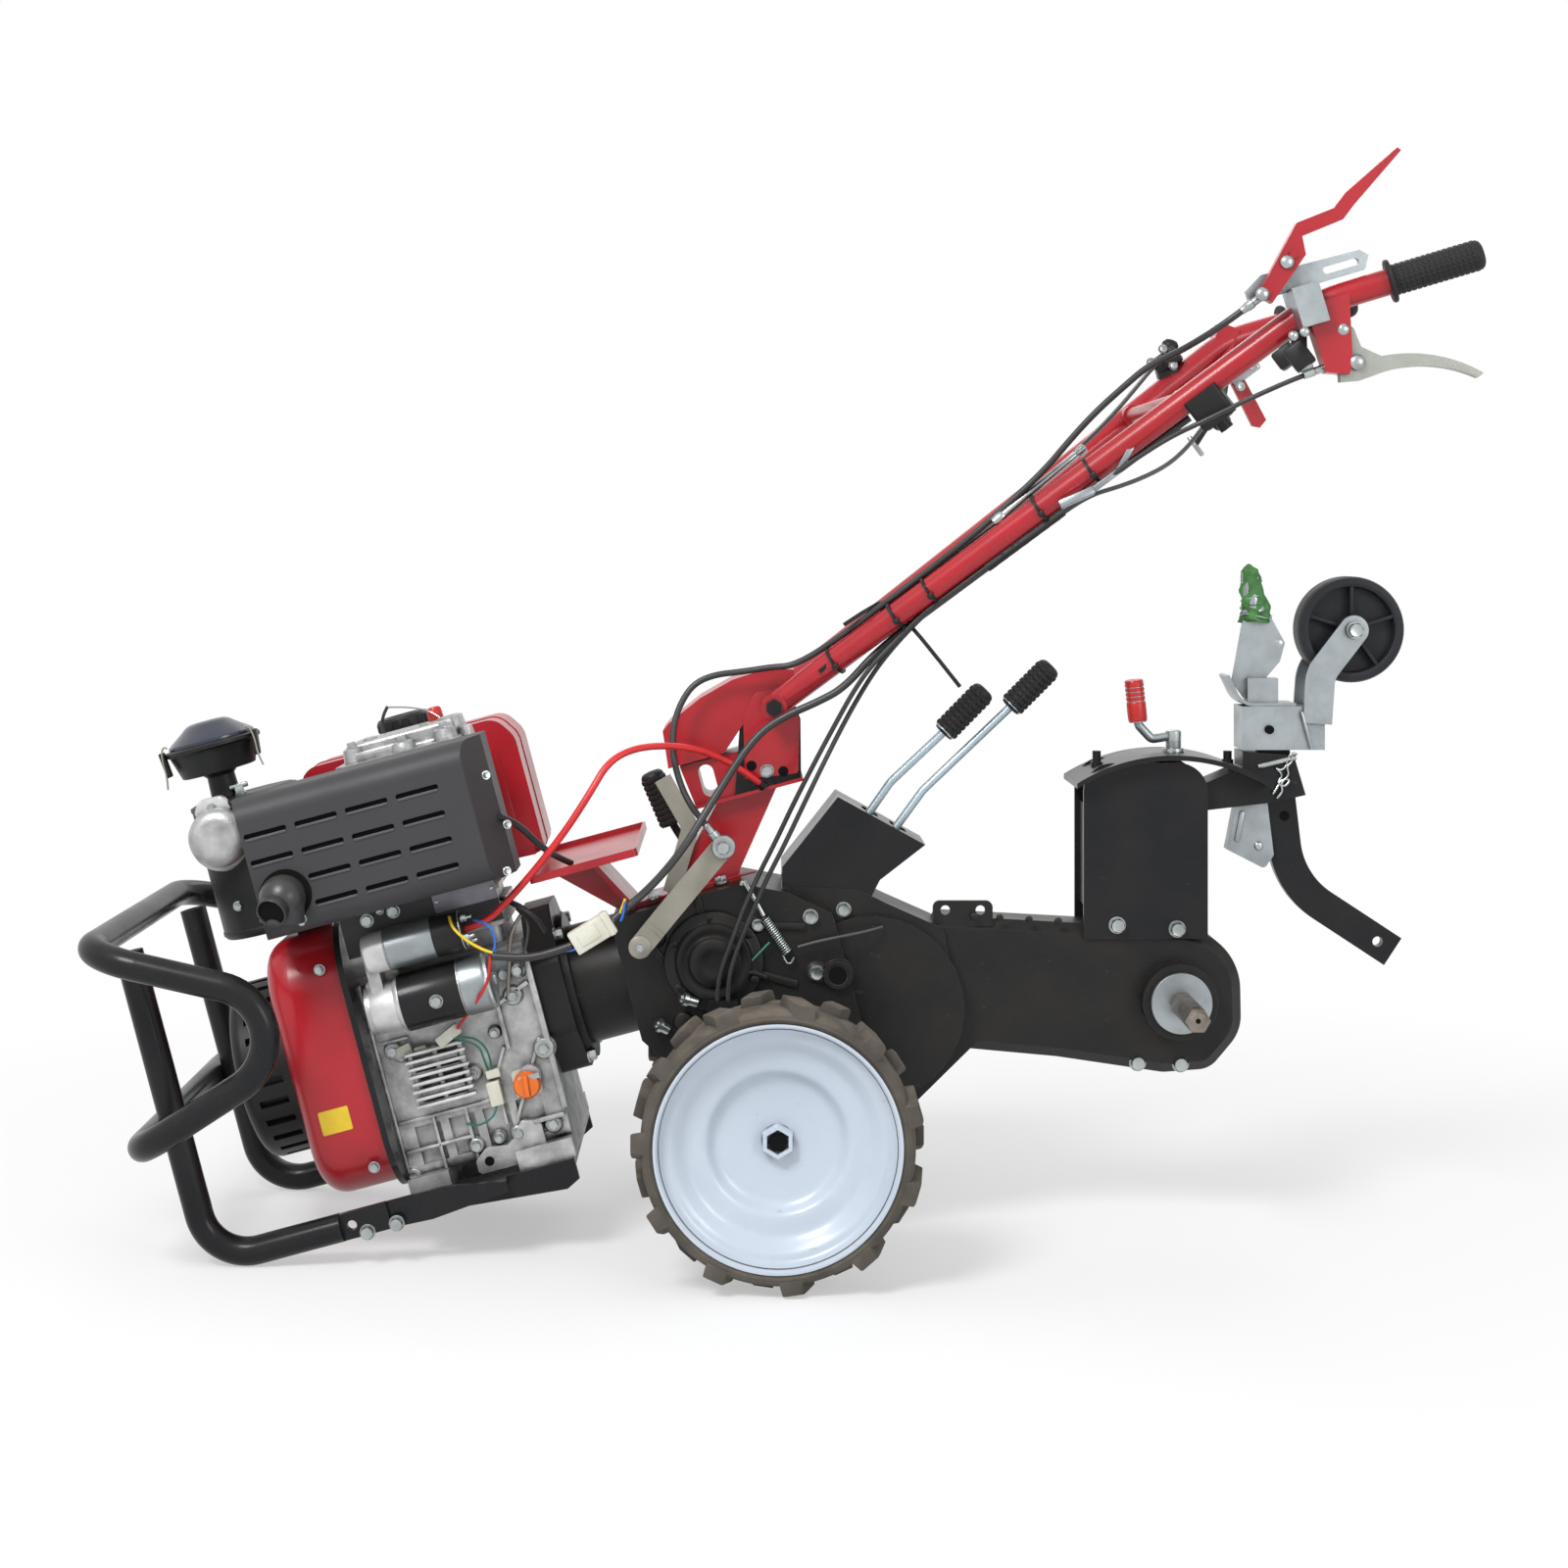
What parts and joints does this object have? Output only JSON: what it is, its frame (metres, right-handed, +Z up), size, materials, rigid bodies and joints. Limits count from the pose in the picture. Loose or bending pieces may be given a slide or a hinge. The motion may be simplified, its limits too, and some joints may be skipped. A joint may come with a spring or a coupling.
{
  "type": "walk-behind power tiller",
  "caption": "Walk-behind diesel power tiller with a front guard, a rear tine shaft, shift levers, a folding tail wheel and two long handles.",
  "frame": {"origin": "on the floor, on the centre line and below the drive-wheel axle, which is within 10 mm of the middle of the bounding box", "axes": "+X rearward to the handle grips, +Y to the machine's right as it drives, +Z up; it is parked nose down on its front guard and its wheels"},
  "size_m": [1.5316, 0.6072, 1.2329],
  "materials": {
    "red_paint": "gloss",
    "black_paint": "satin",
    "heat_black": "matt",
    "cast_alloy": "as cast",
    "zinc": "zinc plated",
    "black_plastic": "matt",
    "grip_rubber": "matt",
    "tyre_rubber": "matt, dusty",
    "rim_paint": "satin",
    "cable_black": "satin",
    "cable_red": "satin"
  },
  "bodies": {
    "chassis": {"air_filter_canister": "black_plastic", "battery_lead": "cable_red", "battery_tray": "red_paint", "bell_housing": "black_paint", "blower_backplate": "black_paint", "chain_case": "black_paint", "clutch_arm": "zinc", "clutch_cable": "cable_black", "clutch_spring": "zinc", "control_cover": "red_paint", "crankcase": "cast_alloy", "cylinder_head": "cast_alloy", "depth_crank": "red_paint", "drag_bar": "black_paint", "drag_bar_socket": "black_paint", "engine_mount": "black_paint", "fan_shroud": "red_paint", "fuel_tank": "red_paint", "gear_lever": "grip_rubber", "gearbox": "black_paint", "guard_leg_left": "black_paint", "guard_leg_right": "black_paint", "guard_loop": "black_paint", "handlebar_column": "red_paint", "handlebar_yoke": "black_paint", "hood_bracket": "black_paint", "intake_casting": "cast_alloy", "latch_pedal": "zinc", "lock_strip": "zinc", "muffler_shield": "heat_black", "pin_channel": "zinc", "pre_cleaner": "black_plastic", "recoil_starter": "black_plastic", "shift_box": "black_paint", "shift_lever_front": "zinc", "shift_lever_rear": "zinc", "starter_motor": "cast_alloy", "starter_solenoid": "cast_alloy", "steering_cables": "cable_black", "swivel_bracket": "red_paint", "tail_wheel_bracket": "zinc", "wire_harness": "cable_black"},
    "wheel_left": {"rim_left": "rim_paint", "tyre_left": "tyre_rubber"},
    "wheel_right": {"rim_right": "rim_paint", "tyre_right": "tyre_rubber"},
    "tine_shaft": {"tine_shaft": "zinc"},
    "tail_wheel": {"tail_wheel": "black_plastic"},
    "handlebar": {"handle_tube_left": "red_paint", "handle_tube_right": "red_paint", "grip_left": "grip_rubber", "grip_right": "grip_rubber", "handlebar_brace": "red_paint", "lever_clamp": "zinc", "clutch_lever": "red_paint", "steering_lever_bracket": "red_paint", "steering_lever": "cast_alloy", "switch_box": "black_plastic", "throttle_lever": "red_paint", "handlebar_cables": "cable_black"}
  },
  "joints": [
    {"name": "wheel_left_spin", "type": "hinge", "parent": "chassis", "child": "wheel_left", "pos_m": [0, -0.255, 0.15995], "axis": [0, 1, 0], "continuous": true},
    {"name": "wheel_right_spin", "type": "hinge", "parent": "chassis", "child": "wheel_right", "pos_m": [0, 0.255, 0.15995], "axis": [0, 1, 0], "continuous": true},
    {"name": "tine_shaft_spin", "type": "hinge", "parent": "chassis", "child": "tine_shaft", "pos_m": [0.47, 0, 0.275], "axis": [0, 1, 0], "continuous": true},
    {"name": "tail_wheel_spin", "type": "hinge", "parent": "chassis", "child": "tail_wheel", "pos_m": [0.679, 0, 0.706], "axis": [0, 1, 0], "continuous": true},
    {"name": "handlebar_height", "type": "hinge", "parent": "chassis", "child": "handlebar", "pos_m": [-0.002, 0, 0.619], "axis": [0, -1, 0], "range_deg": [-10, 15], "deforming": ["wire_harness", "clutch_cable", "steering_cables"]}
  ]
}
